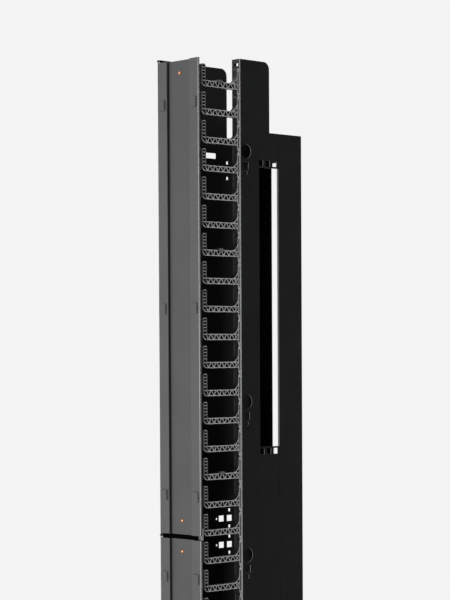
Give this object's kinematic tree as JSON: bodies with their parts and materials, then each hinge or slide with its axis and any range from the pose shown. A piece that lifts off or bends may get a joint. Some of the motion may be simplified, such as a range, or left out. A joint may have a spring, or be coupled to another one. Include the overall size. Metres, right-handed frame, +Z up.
{
  "type": "vertical cable manager",
  "caption": "Full-height rack-side cable duct with hinged covers, push-button latches and lattice cable fingers on one side.",
  "frame": {"origin": "centre of the foot of the bounding box, on the floor line", "axes": "+X towards the finger side, +Y from the covers to the back, +Z up along the duct"},
  "size_m": [0.1014, 0.2328, 1.9],
  "materials": {
    "cover_grey": "satin powder coat",
    "black_steel": "satin black powder coat",
    "finger_plastic": "semi-gloss moulded",
    "marker_plastic": "moulded",
    "latch_plastic": "moulded",
    "zinc_steel": "zinc plated",
    "button_copper": "polished copper colour"
  },
  "bodies": {
    "duct": {"left_side_wall": "black_steel", "right_front_panel": "black_steel", "right_rear_panel": "black_steel", "seam_splice_plates": "black_steel", "splice_rivets": "black_steel", "cross_member_rivets": "black_steel", "hinge_rivets": "black_steel", "rear_cross_member_1": "black_steel", "rear_cross_member_2": "black_steel", "rear_cross_member_3": "black_steel", "rear_cross_member_4": "black_steel", "rear_cross_member_5": "black_steel", "cable_fingers_1_to_7": "finger_plastic", "cable_fingers_8_to_14": "finger_plastic", "cable_fingers_15_to_21": "finger_plastic", "cable_fingers_22_to_28": "finger_plastic", "cable_fingers_29_to_35": "finger_plastic", "cable_fingers_36_to_42": "finger_plastic", "finger_marker_clips": "marker_plastic", "hinge_bracket_1": "black_steel", "hinge_bracket_2": "black_steel", "hinge_bracket_3": "black_steel", "hinge_bracket_4": "black_steel", "hinge_pins": "zinc_steel", "hinge_washers": "latch_plastic"},
    "upper_cover": {"upper_cover_panel": "cover_grey", "upper_cover_clips": "cover_grey", "upper_cover_latch_housings": "latch_plastic", "upper_cover_top_spring": "zinc_steel", "upper_cover_bottom_spring": "zinc_steel"},
    "upper_cover_top_button": {"upper_cover_top_button": "button_copper"},
    "upper_cover_top_slide": {"upper_cover_top_slide": "zinc_steel"},
    "upper_cover_bottom_button": {"upper_cover_bottom_button": "button_copper"},
    "upper_cover_bottom_slide": {"upper_cover_bottom_slide": "zinc_steel"},
    "middle_cover": {"middle_cover_panel": "cover_grey", "middle_cover_clips": "cover_grey", "middle_cover_latch_housings": "latch_plastic", "middle_cover_top_spring": "zinc_steel", "middle_cover_bottom_spring": "zinc_steel"},
    "middle_cover_top_button": {"middle_cover_top_button": "button_copper"},
    "middle_cover_top_slide": {"middle_cover_top_slide": "zinc_steel"},
    "middle_cover_bottom_button": {"middle_cover_bottom_button": "button_copper"},
    "middle_cover_bottom_slide": {"middle_cover_bottom_slide": "zinc_steel"},
    "lower_cover": {"lower_cover_panel": "cover_grey", "lower_cover_clips": "cover_grey", "lower_cover_latch_housings": "latch_plastic", "lower_cover_top_spring": "zinc_steel", "lower_cover_bottom_spring": "zinc_steel"},
    "lower_cover_top_button": {"lower_cover_top_button": "button_copper"},
    "lower_cover_top_slide": {"lower_cover_top_slide": "zinc_steel"},
    "lower_cover_bottom_button": {"lower_cover_bottom_button": "button_copper"},
    "lower_cover_bottom_slide": {"lower_cover_bottom_slide": "zinc_steel"}
  },
  "joints": [
    {"name": "upper_cover_hinge", "type": "hinge", "parent": "duct", "child": "upper_cover", "pos_m": [-0.04555, -0.1116, 1.51667], "axis": [0, 0, -1], "range_deg": [0, 110]},
    {"name": "upper_cover_top_press", "type": "slide", "parent": "upper_cover", "child": "upper_cover_top_button", "axis": [0, 1, 0], "range_m": [0, 0.0018], "stiffness_N_per_m": 400, "springref_m": -0.001, "deforming": ["upper_cover_top_spring"]},
    {"name": "upper_cover_top_retract", "type": "slide", "parent": "upper_cover", "child": "upper_cover_top_slide", "axis": [-1, 0, 0], "range_m": [0, 0.0018]},
    {"name": "upper_cover_bottom_press", "type": "slide", "parent": "upper_cover", "child": "upper_cover_bottom_button", "axis": [0, 1, 0], "range_m": [0, 0.0018], "stiffness_N_per_m": 400, "springref_m": -0.001, "deforming": ["upper_cover_bottom_spring"]},
    {"name": "upper_cover_bottom_retract", "type": "slide", "parent": "upper_cover", "child": "upper_cover_bottom_slide", "axis": [-1, 0, 0], "range_m": [0, 0.0018]},
    {"name": "middle_cover_hinge", "type": "hinge", "parent": "duct", "child": "middle_cover", "pos_m": [-0.04555, -0.1116, 0.95345], "axis": [0, 0, -1], "range_deg": [0, 110]},
    {"name": "middle_cover_top_press", "type": "slide", "parent": "middle_cover", "child": "middle_cover_top_button", "axis": [0, 1, 0], "range_m": [0, 0.0018], "stiffness_N_per_m": 400, "springref_m": -0.001, "deforming": ["middle_cover_top_spring"]},
    {"name": "middle_cover_top_retract", "type": "slide", "parent": "middle_cover", "child": "middle_cover_top_slide", "axis": [-1, 0, 0], "range_m": [0, 0.0018]},
    {"name": "middle_cover_bottom_press", "type": "slide", "parent": "middle_cover", "child": "middle_cover_bottom_button", "axis": [0, 1, 0], "range_m": [0, 0.0018], "stiffness_N_per_m": 400, "springref_m": -0.001, "deforming": ["middle_cover_bottom_spring"]},
    {"name": "middle_cover_bottom_retract", "type": "slide", "parent": "middle_cover", "child": "middle_cover_bottom_slide", "axis": [-1, 0, 0], "range_m": [0, 0.0018]},
    {"name": "lower_cover_hinge", "type": "hinge", "parent": "duct", "child": "lower_cover", "pos_m": [-0.04555, -0.1116, 0.39022], "axis": [0, 0, -1], "range_deg": [0, 110]},
    {"name": "lower_cover_top_press", "type": "slide", "parent": "lower_cover", "child": "lower_cover_top_button", "axis": [0, 1, 0], "range_m": [0, 0.0018], "stiffness_N_per_m": 400, "springref_m": -0.001, "deforming": ["lower_cover_top_spring"]},
    {"name": "lower_cover_top_retract", "type": "slide", "parent": "lower_cover", "child": "lower_cover_top_slide", "axis": [-1, 0, 0], "range_m": [0, 0.0018]},
    {"name": "lower_cover_bottom_press", "type": "slide", "parent": "lower_cover", "child": "lower_cover_bottom_button", "axis": [0, 1, 0], "range_m": [0, 0.0018], "stiffness_N_per_m": 400, "springref_m": -0.001, "deforming": ["lower_cover_bottom_spring"]},
    {"name": "lower_cover_bottom_retract", "type": "slide", "parent": "lower_cover", "child": "lower_cover_bottom_slide", "axis": [-1, 0, 0], "range_m": [0, 0.0018]}
  ],
  "couplings": [
    {"joint": "upper_cover_top_retract", "follows": "upper_cover_top_press", "ratio": 1},
    {"joint": "upper_cover_bottom_retract", "follows": "upper_cover_bottom_press", "ratio": 1},
    {"joint": "middle_cover_top_retract", "follows": "middle_cover_top_press", "ratio": 1},
    {"joint": "middle_cover_bottom_retract", "follows": "middle_cover_bottom_press", "ratio": 1},
    {"joint": "lower_cover_top_retract", "follows": "lower_cover_top_press", "ratio": 1},
    {"joint": "lower_cover_bottom_retract", "follows": "lower_cover_bottom_press", "ratio": 1}
  ]
}
